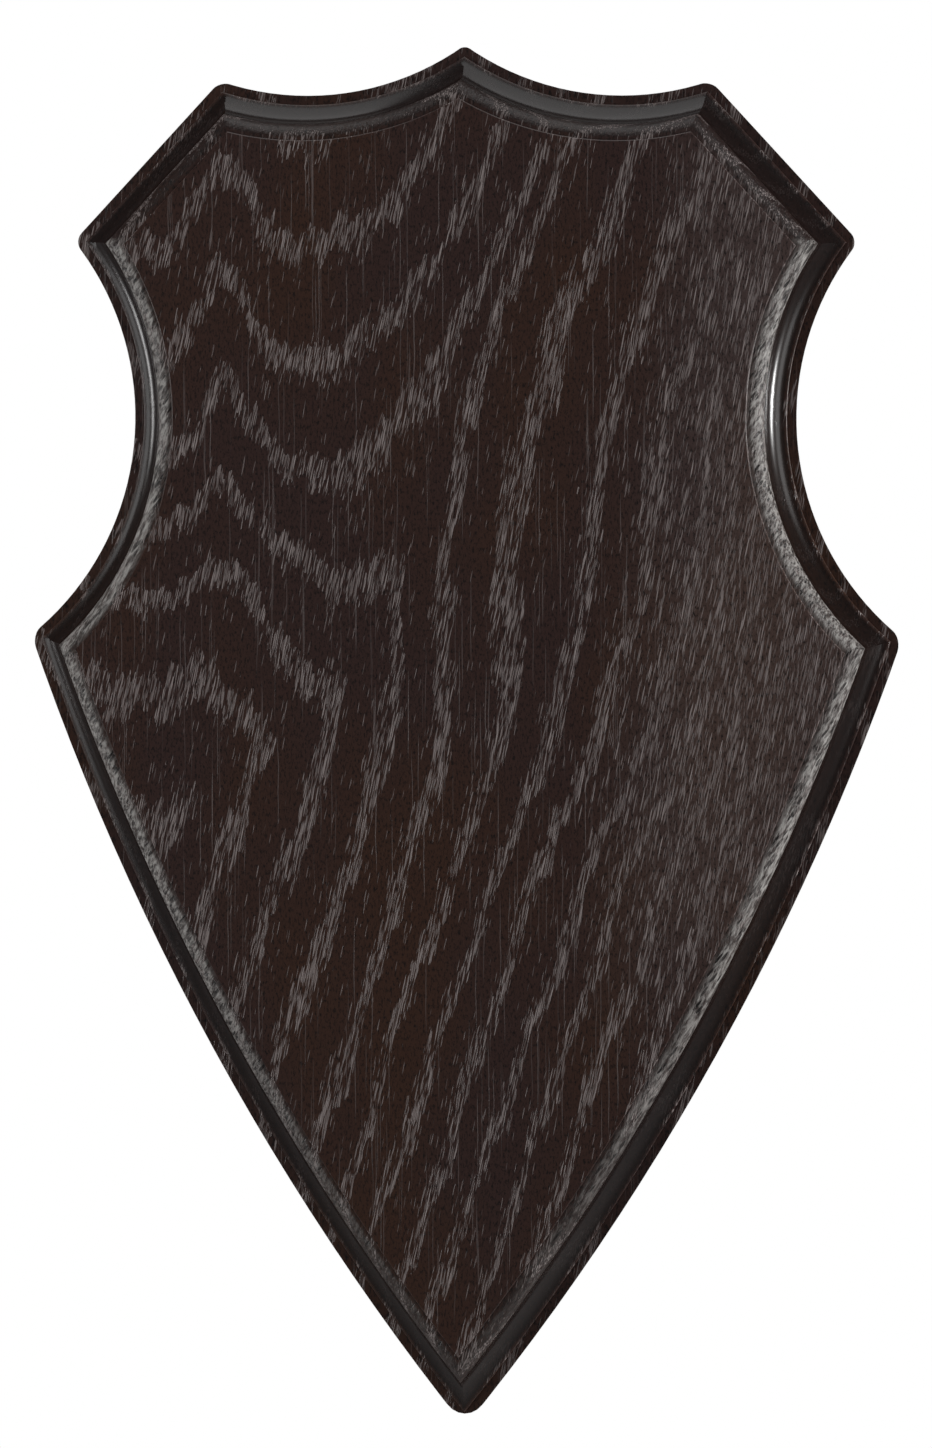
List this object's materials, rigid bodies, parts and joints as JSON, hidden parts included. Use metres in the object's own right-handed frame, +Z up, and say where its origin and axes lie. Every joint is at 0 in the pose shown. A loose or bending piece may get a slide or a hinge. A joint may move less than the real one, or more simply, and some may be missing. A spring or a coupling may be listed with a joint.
{
  "type": "trophy plaque",
  "caption": "Shield-shaped wooden wall plaque with a moulded edge, for mounting a small trophy, with a swinging ring hanger let into its back.",
  "frame": {"origin": "middle of the flat back face, where the plaque meets the wall: on the centreline, half way between the peak and the tip", "axes": "+Z up along the shield, from the tip to the peak; +Y out of the back, towards the wall; the moulded front faces -Y and +X is to its right"},
  "size_m": [0.141, 0.014, 0.2206],
  "materials": {
    "stained_oak": "dark stain under satin lacquer",
    "strap_steel": "zinc plated sheet",
    "ring_steel": "nickel plated wire",
    "screw_steel": "zinc plated, slightly yellow"
  },
  "bodies": {
    "board": {"shield_board": "stained_oak", "hanger_strap": "strap_steel", "hanger_screw": "screw_steel"},
    "ring": {"hanger_ring": "ring_steel"}
  },
  "joints": [
    {"name": "ring_swing", "type": "hinge", "parent": "board", "child": "ring", "pos_m": [0, -0.00412, 0.052], "axis": [-1, 0, 0], "range_deg": [0, 184]}
  ]
}
